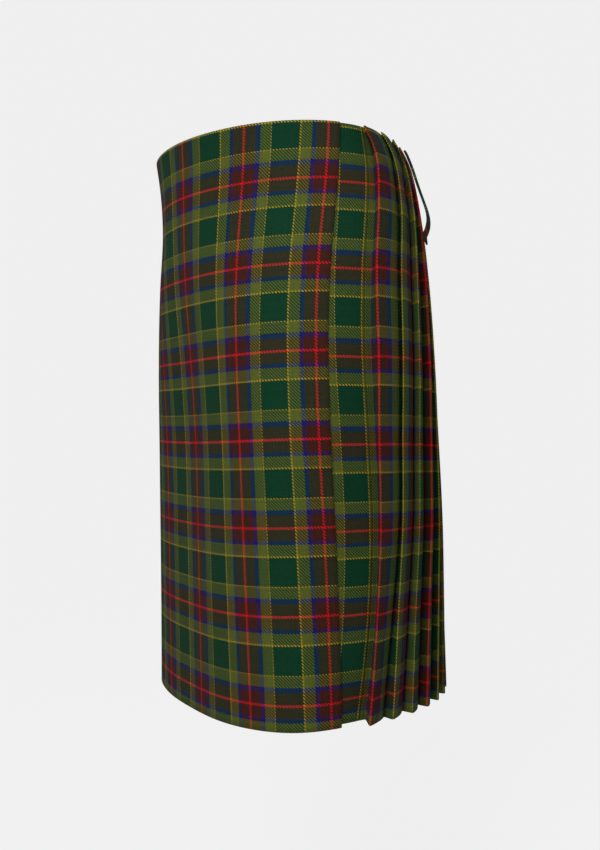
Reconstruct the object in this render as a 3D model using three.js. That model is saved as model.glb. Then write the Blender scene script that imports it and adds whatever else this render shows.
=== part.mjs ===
// A tartan kilt, worn with no wearer in it: two flat aprons that cross over the front, knife pleats all
// round the back, and two belt loops. Millimetres, +Z up. The origin is the centre of the waist opening,
// the kilt hangs down from it, the front faces -Y and the wearer's left side is +X.
//
// Every level of the kilt is one closed outline round the body. A place on the cloth is given by three
// numbers: how far it hangs below the waist edge, how far along the outline it lies (from the centre
// front, growing towards the wearer's left, back and right), and how far it stands off the outline.
import * as THREE from "three";

// ---- driving dimensions -----------------------------------------------------------------------------
const WALL = 1.2; // the cloth
const SEAM_GAP = 0.3; // between pieces that are sewn together
const LENGTH = 611; // waist edge to hem, a 24 inch kilt
const UNDER_SHORTER = 3; // the under apron's hem is this much higher

const SIDE_RISE = 5; // level lines stand this much higher at the sides than at front and back
const BACK_ROUNDNESS = 1.78; // superellipse exponent of the back half of every outline

const PLEAT_COUNT = 17;
const PLEAT_FACE = 42; // cloth from a pleat's outer fold to its inner fold
const PLEAT_RETURN = 17; // cloth from the inner fold to the next outer fold
const FOLD_RADIUS = 1.4; // at the middle of the cloth
const FOLD_STEPS = 3; // flats that make one rounded fold

const SEAM_INSET = 8; // cloth of the under apron's side that belongs to the pleats' piece
const APRON_STEP = 13; // widest flat on the smooth aprons
const UNDER_DEPTH = 2.4; // the under apron lies this far inside the over apron, face to face
const APRON_EASE = 75; // the over apron comes down from its fold to the outline over this length

// One row for each level. drop: below the waist edge. halfWidth: of the outline at its widest, which lies
// this far behind the origin: widest. front, back: how far before and behind the origin its ends reach.
// squareness: superellipse exponent of the front half. apronEdge: centre front to the over apron's free
// edge. strip: from that edge to the fold where the under apron turns out into the first pleat. lean: how
// far past that fold the first pleat's outer fold stands. lastFold: centre front, round the wearer's right,
// to the over apron's fold over the pleats. sideSpread: spacing of the pleats next to the aprons as a share
// of the mean spacing.
const LEVELS = [
  { drop: 0, halfWidth: 162.8, widest: 0.8, front: 135.9, back: 135.9, squareness: 1.99, apronEdge: 220.7, strip: 37.5, lean: -13.5, lastFold: 228, sideSpread: 1 },
  { drop: 30, halfWidth: 166.7, widest: 10, front: 131.4, back: 139.4, squareness: 1.97, apronEdge: 215.5, strip: 40.5, lean: -7, lastFold: 224, sideSpread: 0.985 },
  { drop: 75, halfWidth: 172.2, widest: 19.4, front: 127.6, back: 144.4, squareness: 1.98, apronEdge: 209.7, strip: 42.5, lean: -3.2, lastFold: 222, sideSpread: 0.94 },
  { drop: 145, halfWidth: 178.4, widest: 23.2, front: 124.5, back: 152, squareness: 2.28, apronEdge: 208.4, strip: 44.5, lean: -1.5, lastFold: 219, sideSpread: 0.865 },
  { drop: 235, halfWidth: 180.6, widest: 22, front: 117.6, back: 162.6, squareness: 2.79, apronEdge: 209.4, strip: 47.5, lean: 0.2, lastFold: 220, sideSpread: 0.83 },
  { drop: 320, halfWidth: 178.5, widest: 21.5, front: 112.8, back: 173.7, squareness: 3.15, apronEdge: 211.8, strip: 50.5, lean: -3.5, lastFold: 222, sideSpread: 0.82 },
  { drop: 410, halfWidth: 174.6, widest: 17.7, front: 111.7, back: 185.3, squareness: 3.21, apronEdge: 215.7, strip: 50.5, lean: -5.8, lastFold: 225, sideSpread: 0.84 },
  { drop: 500, halfWidth: 171.6, widest: 2.9, front: 111.1, back: 194.9, squareness: 3.05, apronEdge: 219.2, strip: 45, lean: -7.4, lastFold: 228, sideSpread: 0.895 },
  { drop: LENGTH, halfWidth: 169.7, widest: -26.4, front: 111.2, back: 202, squareness: 2.61, apronEdge: 224.1, strip: 31.5, lean: -6, lastFold: 231, sideSpread: 1.045 },
];

// Belt loops, one on each side of the back.
const LOOP_WALL = 2.4; // cloth folded in three and pressed
const LOOP_WIDTH = 18;
const LOOP_TOP = 9; // below the waist edge
const LOOP_LENGTH = 100;
const LOOP_SEWN = 8; // flat ends sewn down to the pleats
const LOOP_BOW = 6; // clear room for the belt behind the loop at its widest
const LOOP_STEPS = 14;
const LOOP_OVERHANG = 4; // in front of the outer fold that it lies on
const LOOP_ACROSS = 3; // flats across its width
const LOOP_FULLEST = 0.72; // share of its length, from the top, where it stands out most
const LOOP_PLEAT = { left: 3, right: 12 }; // the pleat that each loop is sewn to, counted from 0

const CLOTH = new THREE.MeshStandardMaterial({ color: 0x1d4a30, roughness: 0.9, metalness: 0, side: THREE.DoubleSide });

// ---- the outline at a level -------------------------------------------------------------------------
// A superellipse about its widest place, |x / halfWidth| ^ n + |y / depth| ^ n = 1, with its own n and
// depth in front and behind, measured off as a fine polyline so that a distance along it gives a point
// and the way out.
const OUTLINE_STEPS = 1440;
const WAY_OUT_REACH = 6; // steps to each side that the way out is square to

function outlineOf(level) {
  const points = [];
  let length = 0;
  for (let i = 0; i <= OUTLINE_STEPS; i++) {
    const turn = (2 * Math.PI * i) / OUTLINE_STEPS;
    const [c, s] = [Math.cos(turn), Math.sin(turn)];
    const power = 2 / (c > 0 ? level.squareness : BACK_ROUNDNESS);
    const depth = c > 0 ? level.widest + level.front : level.back - level.widest;
    const x = level.halfWidth * Math.sign(s) * Math.abs(s) ** power;
    const y = level.widest - depth * Math.sign(c) * Math.abs(c) ** power;
    if (i) length += Math.hypot(x - points[i - 1].x, y - points[i - 1].y);
    points.push({ x, y, length });
  }
  return { ...level, points, around: length };
}

// The point at a distance along the outline (any real number: it goes on round) and off it, outwards.
function pointOn(outline, along, off) {
  const { points, around } = outline;
  const wanted = ((along % around) + around) % around;
  let low = 0;
  let high = points.length - 1;
  while (high - low > 1) {
    const middle = (low + high) >> 1;
    if (points[middle].length <= wanted) low = middle;
    else high = middle;
  }
  const [a, b] = [points[low], points[high]];
  const share = (wanted - a.length) / (b.length - a.length);
  const before = points[(low - WAY_OUT_REACH + OUTLINE_STEPS) % OUTLINE_STEPS];
  const after = points[(high + WAY_OUT_REACH) % OUTLINE_STEPS];
  const run = Math.hypot(after.x - before.x, after.y - before.y);
  const x = a.x + share * (b.x - a.x) + (off * (after.y - before.y)) / run;
  const y = a.y + share * (b.y - a.y) - (off * (after.x - before.x)) / run;
  const across = Math.min(1, Math.abs(x) / outline.halfWidth);
  return { x, y, z: -outline.drop - SIDE_RISE * (1 - across ** 2) };
}

// ---- the plan of the pleats at a level --------------------------------------------------------------
// The pleats share out what the aprons leave, spaced a little closer or wider next to the aprons than at
// the back. Every outer fold stands as far off the outline as a return brings the first one out.
function outerFold(outline, index) {
  const first = outline.apronEdge + outline.strip + outline.lean;
  const span = outline.around - outline.lastFold - first;
  const share = index / PLEAT_COUNT;
  const uneven = outline.sideSpread - 1;
  return [
    first + span * (share + uneven * share * (1 - share) * (1 - 2 * share)),
    UNDER_SURFACE + Math.sqrt(PLEAT_RETURN ** 2 - outline.lean ** 2),
  ];
}

// The inner fold after an outer fold: a face away from it, and a return away from the next outer fold.
function innerFold(outline, index) {
  const [along, off] = outerFold(outline, index);
  const pitch = outerFold(outline, index + 1)[0] - along;
  const reach = (pitch ** 2 + PLEAT_FACE ** 2 - PLEAT_RETURN ** 2) / (2 * pitch);
  return [along + reach, off - Math.sqrt(PLEAT_FACE ** 2 - reach ** 2)];
}

// A zigzag of corners (along, off) with each inner corner rounded to FOLD_RADIUS in FOLD_STEPS flats, and
// one more point in the middle of each straight so that it can follow the outline.
function rounded(corners) {
  const path = [corners[0]];
  for (let i = 1; i < corners.length; i++) {
    const from = corners[i - 1];
    const corner = corners[i];
    const last = path[path.length - 1];
    const inLength = Math.hypot(corner[0] - from[0], corner[1] - from[1]);
    const inward = [(corner[0] - from[0]) / inLength, (corner[1] - from[1]) / inLength];
    const next = corners[i + 1];
    if (!next) {
      path.push([(last[0] + corner[0]) / 2, (last[1] + corner[1]) / 2], corner);
      break;
    }
    const outLength = Math.hypot(next[0] - corner[0], next[1] - corner[1]);
    const onward = [(next[0] - corner[0]) / outLength, (next[1] - corner[1]) / outLength];
    const cross = inward[0] * onward[1] - inward[1] * onward[0];
    const turn = Math.atan2(cross, inward[0] * onward[0] + inward[1] * onward[1]);
    const cut = FOLD_RADIUS * Math.tan(Math.abs(turn) / 2);
    const start = [corner[0] - cut * inward[0], corner[1] - cut * inward[1]];
    const side = Math.sign(turn);
    const centre = [start[0] - side * FOLD_RADIUS * inward[1], start[1] + side * FOLD_RADIUS * inward[0]];
    path.push([(last[0] + start[0]) / 2, (last[1] + start[1]) / 2]);
    for (let k = 0; k <= FOLD_STEPS; k++) {
      const angle = (turn * k) / FOLD_STEPS;
      const [dx, dy] = [start[0] - centre[0], start[1] - centre[1]];
      path.push([
        centre[0] + dx * Math.cos(angle) - dy * Math.sin(angle),
        centre[1] + dx * Math.sin(angle) + dy * Math.cos(angle),
      ]);
    }
  }
  return path;
}

// ---- cloth as a closed wall -------------------------------------------------------------------------
// rows: from the waist down, each a line of points in the middle of the cloth, all of one count. Each
// point is moved half the wall to each side, level, square to its row, and the rim is closed.
function clothWall(rows, wall) {
  const count = rows[0].length;
  const sides = [1, -1].map((side) =>
    rows.map((row) =>
      row.map((point, i) => {
        const before = row[Math.max(i - 1, 0)];
        const after = row[Math.min(i + 1, count - 1)];
        const a = new THREE.Vector2(point.x - before.x, point.y - before.y).normalize();
        const b = new THREE.Vector2(after.x - point.x, after.y - point.y).normalize();
        const mean = a.clone().add(b).normalize();
        const half = Math.sqrt((1 + (a.lengthSq() && b.lengthSq() ? a.dot(b) : 1)) / 2);
        const move = (side * wall) / 2 / half;
        return [point.x + move * mean.y, point.y - move * mean.x, point.z];
      }),
    ),
  );
  const positions = sides.flat(3);
  const at = (side, row, i) => (side * rows.length + row) * count + i;
  const faces = [];
  const quad = (a, b, c, d) => faces.push(a, b, c, a, c, d);
  const lastRow = rows.length - 1;
  for (let row = 0; row < lastRow; row++) {
    for (let i = 0; i < count - 1; i++) {
      quad(at(0, row, i), at(0, row + 1, i), at(0, row + 1, i + 1), at(0, row, i + 1));
      quad(at(1, row, i), at(1, row, i + 1), at(1, row + 1, i + 1), at(1, row + 1, i));
    }
    quad(at(0, row, 0), at(1, row, 0), at(1, row + 1, 0), at(0, row + 1, 0));
    const end = count - 1;
    quad(at(0, row, end), at(0, row + 1, end), at(1, row + 1, end), at(1, row, end));
  }
  for (let i = 0; i < count - 1; i++) {
    quad(at(0, 0, i), at(0, 0, i + 1), at(1, 0, i + 1), at(1, 0, i));
    quad(at(0, lastRow, i), at(1, lastRow, i), at(1, lastRow, i + 1), at(0, lastRow, i + 1));
  }
  const geometry = new THREE.BufferGeometry();
  geometry.setAttribute("position", new THREE.Float32BufferAttribute(positions, 3));
  geometry.setIndex(faces);
  geometry.computeVertexNormals();
  return geometry;
}

function piece(name, rows, wall = WALL) {
  const mesh = new THREE.Mesh(clothWall(rows, wall), CLOTH);
  mesh.name = name;
  return mesh;
}

// Points from one (along, off) to another in equal steps. The count is the same on every row, so that the
// rows join up.
function spaced(from, to, count) {
  return Array.from({ length: count + 1 }, (_, i) => [
    from[0] + ((to[0] - from[0]) * i) / count,
    from[1] + ((to[1] - from[1]) * i) / count,
  ]);
}

const outlines = LEVELS.map(outlineOf);
const SURFACE = -WALL / 2; // the middle of cloth whose face lies on the outline
const UNDER_SURFACE = SURFACE - UNDER_DEPTH;
const smooth = (share) => share * share * (3 - 2 * share);

// The seam halfway up the return under the over apron's fold. side: -1 the pleats', 1 the apron's.
function lastSeam(outline, side) {
  const inner = innerFold(outline, PLEAT_COUNT - 1);
  const outer = outerFold(outline, PLEAT_COUNT);
  const run = Math.hypot(outer[0] - inner[0], outer[1] - inner[1]);
  const share = 0.5 + (side * SEAM_GAP) / 2 / run;
  return [inner[0] + share * (outer[0] - inner[0]), inner[1] + share * (outer[1] - inner[1])];
}

// The pleats, from the seam under the first pleat's fold, round the back, to the seam under the over
// apron's fold.
function pleats() {
  return piece(
    "pleats",
    outlines.map((outline) => {
      const underFold = outline.apronEdge + outline.strip;
      const corners = [
        [underFold - SEAM_INSET + SEAM_GAP / 2, UNDER_SURFACE],
        [underFold, UNDER_SURFACE],
      ];
      for (let i = 0; i < PLEAT_COUNT; i++) corners.push(outerFold(outline, i), innerFold(outline, i));
      corners.push(lastSeam(outline, -1));
      return rounded(corners).map(([along, off]) => pointOn(outline, along, off));
    }),
  );
}

// The over apron: a return out to its fold over the last pleat, down to the outline, across the front
// and on to its free edge on the wearer's left.
function overApron() {
  const frontSteps = Math.ceil((2 * Math.max(...LEVELS.map((level) => level.apronEdge)) - APRON_EASE) / APRON_STEP);
  const easeSteps = Math.ceil(APRON_EASE / APRON_STEP);
  return piece(
    "over_apron",
    outlines.map((outline) => {
      const [fold, height] = outerFold(outline, PLEAT_COUNT);
      const seam = lastSeam(outline, 1);
      const down = [fold + APRON_EASE, SURFACE];
      const edge = [outline.around + outline.apronEdge, SURFACE];
      const folded = rounded([seam, [fold, height], down]).slice(0, -2);
      const leave = folded[folded.length - 1];
      const ease = spaced(leave, down, easeSteps).map(([along, off], i) => [
        along,
        SURFACE + (leave[1] - SURFACE) * (1 - smooth(i / easeSteps)),
      ]);
      const front = spaced(down, edge, frontSteps);
      return [...folded, ...ease.slice(1), ...front.slice(1)].map(([along, off]) => pointOn(outline, along, off));
    }),
  );
}

// The under apron: from the seam under the first pleat, forwards under the over apron and across the
// front to the wearer's right, where it ends free, hidden, just short of the over apron's seam.
function underApron() {
  const reachRight = Math.min(...LEVELS.map((level) => level.lastFold)) - APRON_EASE;
  const steps = Math.ceil((Math.max(...LEVELS.map((level) => level.apronEdge + level.strip)) + reachRight) / APRON_STEP);
  return piece(
    "under_apron",
    outlines.map((outline, index) => {
      const hem = index === outlines.length - 1 ? UNDER_SHORTER : 0;
      const seam = [outline.apronEdge + outline.strip - SEAM_INSET - SEAM_GAP / 2, UNDER_SURFACE];
      return spaced([-reachRight, UNDER_SURFACE], seam, steps)
        .map(([along, off]) => pointOn(outline, along, off))
        .map((point) => ({ ...point, z: point.z + hem }));
    }),
  );
}

// A row's value at any drop, straight between the levels' rows.
function levelAt(drop) {
  const next = Math.max(1, LEVELS.findIndex((level) => level.drop >= drop));
  const [above, below] = [LEVELS[next - 1], LEVELS[next]];
  const share = (drop - above.drop) / (below.drop - above.drop);
  return Object.fromEntries(Object.keys(above).map((key) => [key, above[key] + share * (below[key] - above[key])]));
}

// A belt loop: a folded strip sewn flat at both ends on the outer folds, standing out between them,
// fullest low down. Its off is half a sine wave over a squeezed share of the length.
function beltLoop(name, pleat) {
  const squeeze = Math.log(0.5) / Math.log(LOOP_FULLEST);
  const rows = Array.from({ length: LOOP_STEPS + 1 }, (_, step) => {
    const down = (LOOP_LENGTH * step) / LOOP_STEPS;
    const outline = outlineOf(levelAt(LOOP_TOP + down));
    const [fold, height] = outerFold(outline, pleat);
    const free = Math.min(1, Math.max(0, (down - LOOP_SEWN) / (LOOP_LENGTH - 2 * LOOP_SEWN)));
    const lying = height + WALL / 2 + SEAM_GAP + LOOP_WALL / 2;
    const off = lying + LOOP_BOW * Math.sin(Math.PI * free ** squeeze);
    const from = fold - LOOP_OVERHANG;
    return spaced([from, off], [from + LOOP_WIDTH, off], LOOP_ACROSS).map(([along, out]) => pointOn(outline, along, out));
  });
  return piece(name, rows, LOOP_WALL);
}

const kilt = new THREE.Group();
kilt.add(overApron(), underApron(), pleats());
kilt.add(beltLoop("belt_loop_left", LOOP_PLEAT.left), beltLoop("belt_loop_right", LOOP_PLEAT.right));
export default kilt;
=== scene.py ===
import math

import bpy
import numpy as np
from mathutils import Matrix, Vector


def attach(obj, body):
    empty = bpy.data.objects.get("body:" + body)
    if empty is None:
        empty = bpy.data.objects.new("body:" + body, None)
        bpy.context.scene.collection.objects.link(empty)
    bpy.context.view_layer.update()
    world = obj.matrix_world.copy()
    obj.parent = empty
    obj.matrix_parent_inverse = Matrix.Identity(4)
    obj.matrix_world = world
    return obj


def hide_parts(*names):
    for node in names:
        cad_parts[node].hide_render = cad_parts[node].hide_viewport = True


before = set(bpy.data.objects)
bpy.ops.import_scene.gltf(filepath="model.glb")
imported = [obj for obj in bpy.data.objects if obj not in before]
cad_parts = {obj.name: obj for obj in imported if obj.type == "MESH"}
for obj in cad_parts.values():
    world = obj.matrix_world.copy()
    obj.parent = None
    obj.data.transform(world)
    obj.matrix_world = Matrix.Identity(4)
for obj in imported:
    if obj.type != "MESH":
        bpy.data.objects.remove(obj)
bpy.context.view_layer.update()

# A tartan kilt in five pieces of cloth, each a thin closed shell. Lengths are in millimetres until a
# mesh is made. A place on the cloth is (drop below the waist edge, way along the outline round the body
# from the centre front towards the wearer's left, distance off the outline).

MM = 0.001
CLOTH = 1.0  # thickness of one layer
DROP = 611.0  # waist edge to hem
UNDER_SHORTER = 3.0  # the under apron's hem is this much higher
SIDE_RISE = 5.0  # level lines stand this much higher at the sides
BACK_ROUNDNESS = 1.78
PLEATS = 17
FACE, RETURN = 42.0, 17.0  # cloth of one pleat, outer fold to inner fold to next outer fold
SETT = 88.0  # one repeat of the tartan, the same both ways
THREADS = 104  # threads in one repeat
RED_INSET = 11.5  # from the over apron's free edge to its first red line
FIRST_RED_ROW = 57.0  # below the waist edge
EDGE_TURN = 75.0  # the over apron comes down from its fold over this length
SEAM_INSET = 8.0  # cloth of the under apron's side that belongs to the pleats' piece
SEAM_GAP = 0.04  # between pieces where they are sewn together
INNER_LAYER = -3.1  # middle of the under apron, off the outline
OUTER_LAYER = -0.6  # middle of the over apron

COLUMNS = (
    "drop", "half_width", "widest", "front", "back", "squareness",
    "apron_edge", "strip", "lean", "last_fold", "side_spread", "row_shift",
)
# widest: how far behind the origin the outline is widest. apron_edge: centre front to the over apron's
# free edge. strip: from there to the fold where the under apron turns out into the first pleat. lean: how
# far past it the first pleat's outer fold stands. last_fold: centre front, round the wearer's right, to
# the over apron's fold over the pleats. side_spread: spacing of the pleats next to the aprons as a share of
# the mean. row_shift: how much lower the pattern's rows lie on the pleats than on the over apron.
LEVELS = np.array([
    (0, 162.8, 0.8, 135.9, 135.9, 1.99, 220.7, 39, -15, 228, 1, 3),
    (30, 166.7, 10, 131.4, 139.4, 1.97, 215.5, 43, -9.5, 224, 0.985, 3.2),
    (75, 172.2, 19.4, 127.6, 144.4, 1.98, 209.7, 45.5, -6.2, 222, 0.94, 3.5),
    (145, 178.4, 23.2, 124.5, 152, 2.28, 208.4, 47.5, -4.5, 219, 0.865, 4.5),
    (235, 180.6, 22, 117.6, 162.6, 2.79, 209.4, 50.5, -2.8, 220, 0.83, 5.8),
    (320, 178.5, 21.5, 112.8, 173.7, 3.15, 211.8, 53.5, -6.5, 222, 0.82, 6),
    (410, 174.6, 17.7, 111.7, 185.3, 3.21, 215.7, 53.5, -8.8, 225, 0.84, 5.5),
    (500, 171.6, 2.9, 111.1, 194.9, 3.05, 219.2, 48, -10.4, 228, 0.895, 2.2),
    (DROP, 169.7, -26.4, 111.2, 202, 2.61, 224.1, 33.5, -8, 231, 1.045, -1),
])


def level_columns(drops):
    """Each column of the level table at each drop: a cubic between neighbouring rows whose slope at a
    row is the slope between the rows on either side of it."""
    rows = LEVELS[:, 0]
    slope = np.gradient(LEVELS, rows, axis=0)
    k = np.clip(np.searchsorted(rows, drops, side="right") - 1, 0, len(rows) - 2)
    gap = (rows[k + 1] - rows[k])[:, None]
    t = ((drops - rows[k])[:, None]) / gap
    value = (
        LEVELS[k] * (2 * t**3 - 3 * t**2 + 1)
        + slope[k] * gap * (t**3 - 2 * t**2 + t)
        + LEVELS[k + 1] * (3 * t**2 - 2 * t**3)
        + slope[k + 1] * gap * (t**3 - t**2)
    )
    return dict(zip(COLUMNS, value.T))


class Rounds:
    """The outline round the body at each drop: |x / half width|^n + |y / depth|^n = 1 about the widest
    place, with its own n and depth in front and behind, measured off by its length."""

    STEPS = 1440
    WAY_OUT_REACH = 6  # steps to each side that the way out is square to

    def __init__(self, drops):
        self.drops = drops
        self.at = level_columns(drops)
        turn = np.linspace(0, 2 * np.pi, self.STEPS + 1)[None, :]
        c, s = np.cos(turn), np.sin(turn)
        col = {name: values[:, None] for name, values in self.at.items()}
        power = 2 / np.where(c > 0, col["squareness"], BACK_ROUNDNESS)
        depth = np.where(c > 0, col["widest"] + col["front"], col["back"] - col["widest"])
        self.x = col["half_width"] * np.sign(s) * np.abs(s) ** power
        self.y = col["widest"] - depth * np.sign(c) * np.abs(c) ** power
        step = np.hypot(np.diff(self.x), np.diff(self.y))
        self.length = np.concatenate([np.zeros((len(drops), 1)), np.cumsum(step, axis=1)], axis=1)
        self.around = self.length[:, -1]
        dx, dy = (
            np.roll(v[:, :-1], -self.WAY_OUT_REACH, 1) - np.roll(v[:, :-1], self.WAY_OUT_REACH, 1)
            for v in (self.x, self.y)
        )
        run = np.hypot(dx, dy)
        self.out_x = np.concatenate([dy / run, dy[:, :1] / run[:, :1]], axis=1)
        self.out_y = np.concatenate([-dx / run, -dx[:, :1] / run[:, :1]], axis=1)

    def place(self, along, off):
        """Points in space for a grid of (along, off), one row for each drop."""
        points = np.empty(along.shape + (3,))
        for r, total in enumerate(self.around):
            where = along[r] % total
            on = [np.interp(where, self.length[r], v[r]) for v in (self.x, self.y, self.out_x, self.out_y)]
            size = np.hypot(on[2], on[3])
            points[r, :, 0] = on[0] + off[r] * on[2] / size
            points[r, :, 1] = on[1] + off[r] * on[3] / size
            across = np.minimum(1, np.abs(points[r, :, 0]) / self.at["half_width"][r])
            points[r, :, 2] = -self.drops[r] - SIDE_RISE * (1 - across**2)
        return points


def smooth_step(t):
    t = np.clip(t, 0, 1)
    return t * t * (3 - 2 * t)


def sway(drops, along, seed):
    """The cloth's slight unevenness off its form: three slow waves that cross each other and grow
    towards the hem."""
    fall = drops[:, None] / DROP
    wave = (
        np.sin(along / 37.0 + 2.1 * seed + 1.3 * fall)
        + 0.7 * np.sin(along / 19.0 - 1.7 * seed - 2.6 * fall)
        + 0.5 * np.sin(drops[:, None] / 61.0 + along / 83.0 + seed)
    )
    return wave * (0.12 + 0.5 * smooth_step((fall - 0.15) / 0.85))


# ---- meshes -----------------------------------------------------------------------------------------
RIM_ROUNDNESS = 0.8  # how far the cut edge stands out, as a share of half the thickness
SHARP_DEGREES = 60


def shell(name, points, pattern, thickness):
    """A closed shell round a grid of points: each point moved half the thickness to each side along the
    grid's own normal, with a rounded rim. pattern is the cloth's own (across, down) in millimetres."""
    rows, cols = points.shape[:2]
    du = np.gradient(points, axis=1)
    dv = np.gradient(points, axis=0)
    normal = np.cross(dv, du)
    normal /= np.linalg.norm(normal, axis=2, keepdims=True)
    half = thickness / 2
    outer = points + normal * half
    inner = points - normal * half
    ring = np.concatenate([
        np.stack([np.zeros(cols, int), np.arange(cols)], 1),
        np.stack([np.arange(1, rows), np.full(rows - 1, cols - 1)], 1),
        np.stack([np.full(cols - 1, rows - 1), np.arange(cols - 2, -1, -1)], 1),
        np.stack([np.arange(rows - 2, 0, -1), np.zeros(rows - 2, int)], 1),
    ])
    r, c = ring.T
    away = np.zeros((len(ring), 3))
    unit = lambda v: v / np.linalg.norm(v, axis=-1, keepdims=True)
    away[r == 0] -= unit(dv[r[r == 0], c[r == 0]])
    away[r == rows - 1] += unit(dv[r[r == rows - 1], c[r == rows - 1]])
    away[c == 0] -= unit(du[r[c == 0], c[c == 0]])
    away[c == cols - 1] += unit(du[r[c == cols - 1], c[c == cols - 1]])
    rim = points[r, c] + unit(away) * half * RIM_ROUNDNESS
    count = rows * cols
    vertices = np.concatenate([outer.reshape(-1, 3), inner.reshape(-1, 3), rim]) * MM
    across_down = np.concatenate([pattern.reshape(-1, 2), pattern.reshape(-1, 2), pattern[r, c]])
    i, j = np.meshgrid(np.arange(rows - 1), np.arange(cols - 1), indexing="ij")
    a = (i * cols + j).ravel()
    front = np.stack([a, a + cols, a + cols + 1, a + 1], 1)
    back = front[:, ::-1] + count
    edge = r * cols + c
    nxt = np.roll(edge, -1)
    k = np.arange(len(ring)) + 2 * count
    k_next = np.roll(k, -1)
    rim_front = np.stack([edge, nxt, k_next, k], 1)
    rim_back = np.stack([k, k_next, nxt + count, edge + count], 1)
    faces = np.concatenate([front, back, rim_front, rim_back])
    mesh = bpy.data.meshes.new(name)
    mesh.vertices.add(len(vertices))
    mesh.vertices.foreach_set("co", vertices.astype(np.float32).ravel())
    mesh.loops.add(faces.size)
    mesh.loops.foreach_set("vertex_index", faces.astype(np.int32).ravel())
    mesh.polygons.add(len(faces))
    mesh.polygons.foreach_set("loop_start", np.arange(0, faces.size, 4, dtype=np.int32))
    mesh.polygons.foreach_set("use_smooth", np.ones(len(faces), bool))
    mesh.update(calc_edges=True)
    layer = mesh.uv_layers.new(name="cloth")
    layer.data.foreach_set("uv", (across_down[faces.ravel()] * MM).astype(np.float32).ravel())
    mesh.set_sharp_from_angle(angle=math.radians(SHARP_DEGREES))
    mesh.validate()
    piece = bpy.data.objects.new(name, mesh)
    bpy.context.scene.collection.objects.link(piece)
    return piece


TOP_PULL, TOP_PULL_DEPTH = 3.2, 30.0  # the cloth is drawn up over the waist edge, and how far down it shows


def down_pattern(drops, cols, shift):
    """The pattern's own way down, 0 on a red row, drawn up a little towards the waist edge."""
    pull = TOP_PULL * (1 - smooth_step(drops / TOP_PULL_DEPTH))
    return np.repeat((drops - shift - pull - FIRST_RED_ROW)[:, None], cols, axis=1)


# ---- the tartan -------------------------------------------------------------------------------------
# Bands of one repeat, from the middle of a red line: where each ends, and its yarn.
RED = (1.0, 0.006, 0.022)
BROWN = (0.086, 0.019, 0.010)
BLUE = (0.014, 0.016, 0.19)
LIGHT_GREEN = (0.15, 0.185, 0.026)
YELLOW = (0.62, 0.43, 0.03)
DARK_GREEN = (0.002, 0.066, 0.026)
THREAD_TINT = 0.22  # how much one thread differs from the next
# painted shade: the grooves between threads are painted darker than the threads' crowns, by this share
GROOVE_SHADE = 0.45  # how much darker the grooves between threads look than the threads' crowns
BANDS = (
    (1.3, RED), (12.2, BROWN), (16.7, BLUE), (27.7, LIGHT_GREEN), (28.9, YELLOW), (58.2, DARK_GREEN),
    (59.1, YELLOW), (70.1, LIGHT_GREEN), (74.6, BLUE), (86.7, BROWN), (88.0, RED),
)


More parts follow.
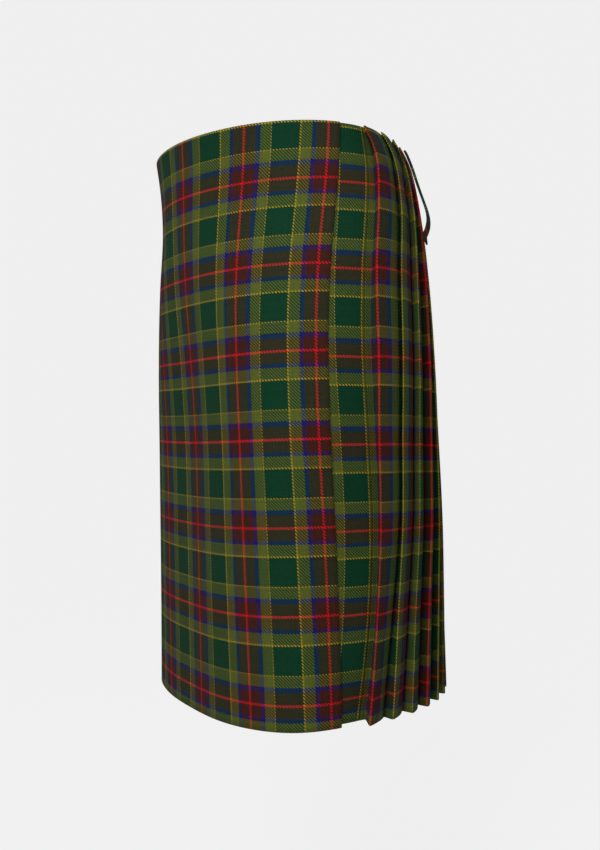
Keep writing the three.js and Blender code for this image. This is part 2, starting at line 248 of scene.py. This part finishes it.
def tartan_group():
    """Yarn colour, with painted shade darkening the grooves between threads, and height of a two-and-two
    twill tartan. The warp's colour comes from the place across, the weft's from the place down, and the warp
    lies on top where the sum of the two thread numbers, counted in fours, is 0 or 1, which makes the
    diagonal ribs."""
    group = bpy.data.node_groups.new("tartan_twill", "ShaderNodeTree")
    group.interface.new_socket("Cloth", in_out="INPUT", socket_type="NodeSocketVector")
    group.interface.new_socket("Colour", in_out="OUTPUT", socket_type="NodeSocketColor")
    group.interface.new_socket("Height", in_out="OUTPUT", socket_type="NodeSocketFloat")
    nodes, links = group.nodes, group.links
    inlet, outlet = nodes.new("NodeGroupInput"), nodes.new("NodeGroupOutput")

    def math_node(operation, *values):
        node = nodes.new("ShaderNodeMath")
        node.operation = operation
        for socket, value in zip(node.inputs, values):
            if hasattr(value, "is_output"):
                links.new(value, socket)
            else:
                socket.default_value = value
        return node.outputs[0]

    parts = nodes.new("ShaderNodeSeparateXYZ")
    links.new(inlet.outputs["Cloth"], parts.inputs[0])
    threads, colours, crowns = [], [], []
    for place in (parts.outputs["X"], parts.outputs["Y"]):
        repeats = math_node("DIVIDE", place, SETT * MM)
        count = math_node("MULTIPLY", repeats, float(THREADS))
        thread = math_node("FLOOR", count)
        threads.append(thread)
        middle = math_node("DIVIDE", math_node("ADD", thread, 0.5), float(THREADS))
        ramp = nodes.new("ShaderNodeValToRGB")
        ramp.color_ramp.interpolation = "CONSTANT"
        starts = [0.0] + [end / SETT for end, _ in BANDS[:-1]]
        elements = ramp.color_ramp.elements
        while len(elements) < len(BANDS):
            elements.new(0.5)
        for element, start, (_, yarn) in zip(elements, starts, BANDS):
            element.position = start
            element.color = (*yarn, 1.0)
        links.new(math_node("FRACT", middle), ramp.inputs[0])
        uneven = nodes.new("ShaderNodeTexWhiteNoise")
        uneven.noise_dimensions = "1D"
        links.new(thread, uneven.inputs["W"])
        tint = nodes.new("ShaderNodeMix")
        tint.data_type = "RGBA"
        tint.blend_type = "MULTIPLY"
        tint.inputs["Factor"].default_value = THREAD_TINT
        links.new(ramp.outputs["Color"], tint.inputs["A"])
        links.new(uneven.outputs["Value"], tint.inputs["B"])
        colours.append(tint.outputs["Result"])
        across = math_node("SUBTRACT", math_node("FRACT", count), 0.5)
        squared = math_node("MULTIPLY", across, across)
        crowns.append(math_node("SUBTRACT", 1.0, math_node("MULTIPLY", 3.0, squared)))
    step = math_node("FLOORED_MODULO", math_node("ADD", *threads), 4.0)
    weft_up = math_node("GREATER_THAN", step, 1.5)
    mix = nodes.new("ShaderNodeMix")
    mix.data_type = "RGBA"
    links.new(weft_up, mix.inputs["Factor"])
    links.new(colours[0], mix.inputs["A"])
    links.new(colours[1], mix.inputs["B"])
    crown = nodes.new("ShaderNodeMix")
    links.new(weft_up, crown.inputs["Factor"])
    links.new(crowns[0], crown.inputs["A"])
    links.new(crowns[1], crown.inputs["B"])
    # painted shade: the colour is darkened towards each thread's edges, in the grooves between threads
    painted_groove_shade = nodes.new("ShaderNodeMix")
    painted_groove_shade.data_type = "RGBA"
    painted_groove_shade.blend_type = "MULTIPLY"
    painted_groove_shade.inputs["Factor"].default_value = GROOVE_SHADE
    links.new(mix.outputs["Result"], painted_groove_shade.inputs["A"])
    links.new(crown.outputs["Result"], painted_groove_shade.inputs["B"])
    links.new(painted_groove_shade.outputs["Result"], outlet.inputs["Colour"])
    links.new(crown.outputs["Result"], outlet.inputs["Height"])
    return group


def tartan_material(group):
    """Matt wool: the twill's colour with its painted groove shade, and ribs, with soft lint over both."""
    material = bpy.data.materials.new("tartan_wool")
    material.use_nodes = True
    nodes, links = material.node_tree.nodes, material.node_tree.links
    shader = nodes["Principled BSDF"]
    cloth = nodes.new("ShaderNodeUVMap")
    cloth.uv_map = "cloth"
    twill = nodes.new("ShaderNodeGroup")
    twill.node_tree = group
    links.new(cloth.outputs["UV"], twill.inputs["Cloth"])
    lint = nodes.new("ShaderNodeTexNoise")
    lint.inputs["Scale"].default_value = 260.0
    lint.inputs["Detail"].default_value = 3.0
    links.new(cloth.outputs["UV"], lint.inputs["Vector"])
    spread = nodes.new("ShaderNodeMapRange")
    spread.inputs["To Min"].default_value = 0.75
    spread.inputs["To Max"].default_value = 1.2
    links.new(lint.outputs["Fac"], spread.inputs["Value"])
    worn = nodes.new("ShaderNodeMix")
    worn.data_type = "RGBA"
    worn.blend_type = "MULTIPLY"
    worn.inputs["Factor"].default_value = 1.0
    links.new(twill.outputs["Colour"], worn.inputs["A"])
    links.new(spread.outputs["Result"], worn.inputs["B"])
    links.new(worn.outputs["Result"], shader.inputs["Base Color"])
    ribs = nodes.new("ShaderNodeBump")
    ribs.inputs["Strength"].default_value = 0.7
    ribs.inputs["Distance"].default_value = 0.00035
    links.new(twill.outputs["Height"], ribs.inputs["Height"])
    links.new(ribs.outputs["Normal"], shader.inputs["Normal"])
    shader.inputs["Roughness"].default_value = 0.62
    shader.inputs["Specular IOR Level"].default_value = 0.1
    shader.inputs["Sheen Weight"].default_value = 0.02
    shader.inputs["Sheen Roughness"].default_value = 0.6
    return material


# ---- the pieces -------------------------------------------------------------------------------------


FOLD_WANDER = 2.2  # how far an outer fold strays sideways by the hem, at most


def outer_fold(rounds, index):
    """Along and off of an outer fold at every drop: the first stands a return's length off the fold in
    the under apron, and the rest share the way round with an uneven spacing, each wandering a little."""
    at = rounds.at
    first = at["apron_edge"] + at["strip"] + at["lean"]
    span = rounds.around - at["last_fold"] - first
    share = index / PLEATS
    along = first + span * (share + (at["side_spread"] - 1) * share * (1 - share) * (1 - 2 * share))
    off = INNER_LAYER + np.sqrt(RETURN**2 - at["lean"] ** 2)
    hidden = 1.0 if 5 < index < PLEATS else 0.25
    fall = rounds.drops / DROP
    wander = hidden * FOLD_WANDER * fall * np.sin(1.9 * index + 3.1 * fall)
    return along + wander, off


def inner_fold(a, b):
    """The inner fold between two outer folds: where a circle of one face about the first meets a circle
    of one return about the next, on the body's side."""
    dx, dy = b[0] - a[0], b[1] - a[1]
    apart = np.hypot(dx, dy)
    reach = (apart**2 + FACE**2 - RETURN**2) / (2 * apart)
    deep = np.sqrt(FACE**2 - reach**2)
    return a[0] + (reach * dx + deep * dy) / apart, a[1] + (reach * dy - deep * dx) / apart


def folded_path(corner_cloth, corner_along, corner_off, cloth, softness):
    """The zigzag through the corners, rounded: at each place on the cloth the mean of the zigzag over
    the softness to each side, which turns a corner into a short arc."""
    spread = np.linspace(-1, 1, 9)
    along = np.zeros((len(softness), len(cloth)))
    off = np.zeros_like(along)
    for r, soft in enumerate(softness):
        for part in spread:
            where = np.clip(cloth + part * soft, corner_cloth[0], corner_cloth[-1])
            along[r] += np.interp(where, corner_cloth, corner_along[r]) / len(spread)
            off[r] += np.interp(where, corner_cloth, corner_off[r]) / len(spread)
    return along, off


def fold_softness(drops):
    """Cloth to each side of a fold that its rounding takes up: crisp at the waist, softer to the hem."""
    return 1.5 + 1.6 * smooth_step((drops - 120) / 400)


def fold_samples(corners, coarse, fine=0.9, reach=3.4):
    """Places on the cloth, close together within reach of each corner and wider apart between."""
    places = []
    for a, b in zip(corners[:-1], corners[1:]):
        near = min(reach, (b - a) / 2)
        places += list(np.arange(a, a + near, fine))
        middle = b - a - 2 * near
        places += list(np.linspace(a + near, b - near, max(2, int(middle / coarse) + 1), endpoint=False))
        places += list(np.arange(b - near, b, fine))
    return np.unique(np.round(places + [corners[-1]], 3))


ROWS = np.concatenate([np.linspace(0, 20, 6)[:-1], np.linspace(20, DROP, 84)])


WAIST_FLATTEN, WAIST_BAND = 0.4, 60.0  # share of the folds' depth pressed out, fading over this drop
FOLD_STRETCH, FOLD_STRETCH_REACH = 0.35, 4.0  # of the pattern beside the first fold
FOLD_DIP, FOLD_DIP_DEPTH = 2.0, 30.0  # the pleats' top edge sits this much lower than the aprons'
FOLD_RUN_IN = 6.0  # cloth before the first fold over which the flattening and the dip come in
FACE_SWELL, HEM_SWELL = 0.5, 1.2  # how far a face rounds out at the waist, and how much more at the hem
HEM_LIFT_START = 560.0


def hem_lift(drops):
    """How far the shorter hem's lift has come in: 0 well above the hem, 1 at it."""
    return smooth_step((drops - HEM_LIFT_START) / (DROP - HEM_LIFT_START))


def make_pleats():
    rounds = Rounds(ROWS)
    at = rounds.at
    folds = [outer_fold(rounds, k) for k in range(PLEATS + 1)]
    under = (at["apron_edge"] + at["strip"], np.full(len(ROWS), INNER_LAYER))
    seam = (under[0] - SEAM_INSET + SEAM_GAP / 2, under[1])
    cloth = [-RETURN - SEAM_INSET, -RETURN]
    corners = [seam, under]
    for k in range(PLEATS):
        cloth += [k * (FACE + RETURN), k * (FACE + RETURN) + FACE]
        corners += [folds[k], inner_fold(folds[k], folds[k + 1])]
    inner, outer = corners[-1], folds[-1]
    half = 0.5 - SEAM_GAP / 2 / RETURN
    corners.append((inner[0] + half * (outer[0] - inner[0]), inner[1] + half * (outer[1] - inner[1])))
    cloth.append(cloth[-1] + RETURN * half)
    cloth = np.array(cloth)
    corner_along = np.stack([c[0] for c in corners], 1)
    corner_off = np.stack([c[1] for c in corners], 1)
    places = fold_samples(cloth, coarse=6.5)
    softness = fold_softness(ROWS)
    along, off = folded_path(cloth, corner_along, corner_off, places, softness)
    # a face rounds out a little between its folds, more towards the hem
    on_face = (places % (FACE + RETURN)) / FACE
    swell = np.where((places > 0) & (on_face < 1), np.sin(np.pi * np.clip(on_face, 0, 1)), 0)
    off += swell[None, :] * (FACE_SWELL + HEM_SWELL * ROWS / DROP)[:, None]
    # pressed and sewn down at the waist, the folds stand less deep there
    crest = corner_off[:, 2:3]
    beyond = smooth_step(places / FOLD_RUN_IN + 1)[None, :]
    off += (crest - off) * WAIST_FLATTEN * beyond * (1 - smooth_step(ROWS / WAIST_BAND))[:, None]
    off += sway(ROWS, along, 0.6) * 0.5 * smooth_step((places + RETURN) / 25.0)[None, :]
    # pressing has stretched the cloth along the first fold, which widens the red line on it
    across = -places * (1 - FOLD_STRETCH * np.exp(-((places / FOLD_STRETCH_REACH) ** 2)))
    down = down_pattern(ROWS, len(places), at["row_shift"])
    pattern = np.stack([np.repeat(across[None, :], len(ROWS), 0), down], 2)
    points = rounds.place(along, off)
    before_fold = smooth_step(-places / RETURN)[None, :]
    points[..., 2] += UNDER_SHORTER * before_fold * hem_lift(ROWS)[:, None]
    points[..., 2] -= FOLD_DIP * beyond * (1 - smooth_step(ROWS / FOLD_DIP_DEPTH))[:, None]
    return shell("pleats_cloth", points, pattern, CLOTH)


FINE_STRETCH = 8.0  # finely divided cloth after the over apron's fold
EDGE_CALM = 60.0  # the over apron's sway dies away over this length before its free edge


def make_over_apron():
    rounds = Rounds(ROWS)
    at = rounds.at
    folds = [outer_fold(rounds, k) for k in (PLEATS - 1, PLEATS)]
    inner, outer = inner_fold(*folds), folds[1]
    half = 0.5 + SEAM_GAP / 2 / RETURN
    seam = (inner[0] + half * (outer[0] - inner[0]), inner[1] + half * (outer[1] - inner[1]))
    first = RETURN * (1 - half)
    cloth = np.array([0, first, first + EDGE_TURN])
    turn = (outer[0] + EDGE_TURN, outer[1])
    corner_along = np.stack([seam[0], outer[0], turn[0]], 1)
    corner_off = np.stack([seam[1], outer[1], turn[1]], 1)
    places = fold_samples(np.array([0, first, first + FINE_STRETCH]), coarse=3.0)
    places = np.concatenate([places, np.linspace(first + FINE_STRETCH, first + EDGE_TURN, 17)[1:]])
    softness = fold_softness(ROWS)
    along, off = folded_path(cloth, corner_along, corner_off, places, softness)
    settle = smooth_step((places - first) / EDGE_TURN)[None, :]
    off = off + (OUTER_LAYER - off) * settle
    edge = rounds.around + at["apron_edge"]
    share = np.linspace(0, 1, 78)[None, 1:]
    front = along[:, -1:] + (edge[:, None] - along[:, -1:]) * share
    along = np.concatenate([along, front], axis=1)
    off = np.concatenate([off, np.full_like(front, OUTER_LAYER)], axis=1)
    ease_off = smooth_step((edge[:, None] - along) / EDGE_CALM)
    off += np.maximum(sway(ROWS, along - rounds.around[:, None], 0.0) * 0.55, -1.0) * ease_off
    across = (edge[:, None] - along) - RED_INSET
    pattern = np.stack([across, down_pattern(ROWS, along.shape[1], 0)], 2)
    return shell("over_apron_cloth", rounds.place(along, off), pattern, CLOTH)


def make_under_apron():
    rounds = Rounds(ROWS)
    at = rounds.at
    reach_right = LEVELS[:, COLUMNS.index("last_fold")].min() - EDGE_TURN
    seam = at["apron_edge"] + at["strip"] - SEAM_INSET - SEAM_GAP / 2
    share = np.linspace(0, 1, 76)[None, :]
    along = -reach_right + (seam[:, None] + reach_right) * share
    off = np.full_like(along, INNER_LAYER)
    across = RETURN + SEAM_INSET + SEAM_GAP / 2 + seam[:, None] - along
    pattern = np.stack([across, down_pattern(ROWS, along.shape[1], at["row_shift"])], 2)
    points = rounds.place(along, off)
    points[..., 2] += UNDER_SHORTER * hem_lift(ROWS)[:, None]
    return shell("under_apron_cloth", points, pattern, CLOTH)


LOOP_WALL, LOOP_WIDTH, LOOP_LENGTH = 2.2, 18.0, 100.0
LOOP_TOP = 9.0  # below the waist edge
LOOP_SEWN = 8.0  # flat ends sewn down to the pleats
LOOP_BOW, LOOP_FULLEST = 6.0, 0.76  # how far it stands out, and at what share of its length
LOOP_OVERHANG = 8.0  # in front of the outer fold that it lies on
LOOP_CROWN, LOOP_CLEAR = 0.25, 0.5  # fullness across the strap, and room between it and the cloth below
LOOP_ACROSS_START = 34.0  # the strap is cut from the dark green band


def make_loop(name, pleat):
    """A strap folded in three, flat on the outer folds at both ends and half a sine wave off them
    between, fullest low down."""
    down = np.linspace(0, LOOP_LENGTH, 61)
    rounds = Rounds(LOOP_TOP + down)
    fold, height = outer_fold(rounds, pleat)
    squeeze = math.log(0.5) / math.log(LOOP_FULLEST)
    free = np.clip((down - LOOP_SEWN) / (LOOP_LENGTH - 2 * LOOP_SEWN), 0, 1)
    lying = height + CLOTH / 2 + LOOP_CLEAR + LOOP_WALL / 2
    off = lying + LOOP_BOW * np.sin(np.pi * free**squeeze)
    width = np.linspace(0, LOOP_WIDTH, 19)[None, :]
    along = fold[:, None] - LOOP_OVERHANG + width
    crown = LOOP_CROWN * np.sin(np.pi * width / LOOP_WIDTH)
    points = rounds.place(along, off[:, None] + crown)
    across = np.repeat(LOOP_ACROSS_START + width, len(down), 0)
    pattern = np.stack([across, np.repeat(down[:, None], width.size, 1)], 2)
    return shell(name, points, pattern, LOOP_WALL)


PIECES = (
    (make_over_apron(), "over_apron", (0.462, 0.611), "hung"),
    (make_under_apron(), "under_apron", (0.395, 0.608), "hung"),
    (make_pleats(), "pleats", (1.02, 0.611), "folded"),
    (make_loop("belt_loop_left_cloth", 3), "belt_loop_left", (0.018, 0.1), "hung"),
    (make_loop("belt_loop_right_cloth", 12), "belt_loop_right", (0.018, 0.1), "hung"),
)
wool = tartan_material(tartan_group())
for piece, node, flat, held in PIECES:
    piece.data.materials.append(wool)
    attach(piece, "root")
    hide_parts(node)

# ---- studio -----------------------------------------------------------------------------------------
FLOOR_DROP = 1.0  # the floor is this far below the waist, in metres
SWEEP = 4.0  # radius of the bend from floor to wall
SEEN_GLOW = 0.85  # how bright the paint looks
ROOM_GLOW = 0.17  # how much it lights the kilt


def studio():
    """A pale floor that curves up into a pale wall all round, as one turned surface."""
    reach, rise = 7.0, 6.0
    bend = np.linspace(0, np.pi / 2, 13)
    radius = np.concatenate([[0.001, 2.0], reach - SWEEP + SWEEP * np.sin(bend), [reach]])
    height = np.concatenate([[0, 0], SWEEP * (1 - np.cos(bend)), [rise]]) - FLOOR_DROP
    turn = np.linspace(0, 2 * np.pi, 65)[:-1]
    rings, sides = len(radius), len(turn)
    points = np.stack([
        np.outer(radius, np.cos(turn)), np.outer(radius, np.sin(turn)), np.repeat(height[:, None], sides, 1),
    ], 2).reshape(-1, 3)
    i, j = np.meshgrid(np.arange(rings - 1), np.arange(sides), indexing="ij")
    a, b = i * sides + j, i * sides + (j + 1) % sides
    faces = np.stack([a, b, b + sides, a + sides], 2).reshape(-1, 4)
    mesh = bpy.data.meshes.new("studio_floor")
    mesh.from_pydata(points.tolist(), [], faces[:, ::-1].tolist())
    mesh.polygons.foreach_set("use_smooth", np.ones(len(faces), bool))
    floor = bpy.data.objects.new("studio_floor", mesh)
    bpy.context.scene.collection.objects.link(floor)
    paint = bpy.data.materials.new("studio_paint")
    paint.use_nodes = True
    shader = paint.node_tree.nodes["Principled BSDF"]
    shader.inputs["Base Color"].default_value = (0.1, 0.1, 0.1, 1)
    shader.inputs["Roughness"].default_value = 1.0
    shader.inputs["Specular IOR Level"].default_value = 0.0
    shader.inputs["Emission Color"].default_value = (1, 1, 1, 1)
    ray = paint.node_tree.nodes.new("ShaderNodeLightPath")
    glow = paint.node_tree.nodes.new("ShaderNodeMapRange")
    glow.inputs["To Min"].default_value = ROOM_GLOW
    glow.inputs["To Max"].default_value = SEEN_GLOW
    paint.node_tree.links.new(ray.outputs["Is Camera Ray"], glow.inputs["Value"])
    paint.node_tree.links.new(glow.outputs["Result"], shader.inputs["Emission Strength"])
    mesh.materials.append(paint)


def light(name, where, size, watts, target=(0, 0, -0.3)):
    lamp = bpy.data.lights.new(name, "AREA")
    lamp.size = size
    lamp.energy = watts
    holder = bpy.data.objects.new(name, lamp)
    holder.location = where
    holder.rotation_euler = (Vector(target) - Vector(where)).to_track_quat("-Z", "Y").to_euler()
    bpy.context.scene.collection.objects.link(holder)


studio()
light("key_softbox", (1.6, -1.6, 1.15), 1.0, 44)
light("side_softbox", (2.6, 1.0, 0.3), 1.4, 5)
light("glancing_softbox", (-2.2, -1.6, 0.8), 0.7, 1.0)

CAMERA_TURN, CAMERA_RISE = 60.96, 0.6  # degrees from the front towards the wearer's left, and upwards
lens = bpy.data.cameras.new("camera")
lens.sensor_fit = "VERTICAL"
lens.sensor_height = 36.0
lens.lens = 43.24
camera = bpy.data.objects.new("camera", lens)
camera.location = (1.0451, -0.5507, -0.3187)
turn, rise = math.radians(CAMERA_TURN), math.radians(CAMERA_RISE)
looking = Vector((-math.sin(turn) * math.cos(rise), math.cos(turn) * math.cos(rise), math.sin(rise)))
camera.rotation_euler = looking.to_track_quat("-Z", "Y").to_euler()
bpy.context.scene.collection.objects.link(camera)
bpy.context.scene.camera = camera
bpy.context.scene.view_settings.view_transform = "Standard"
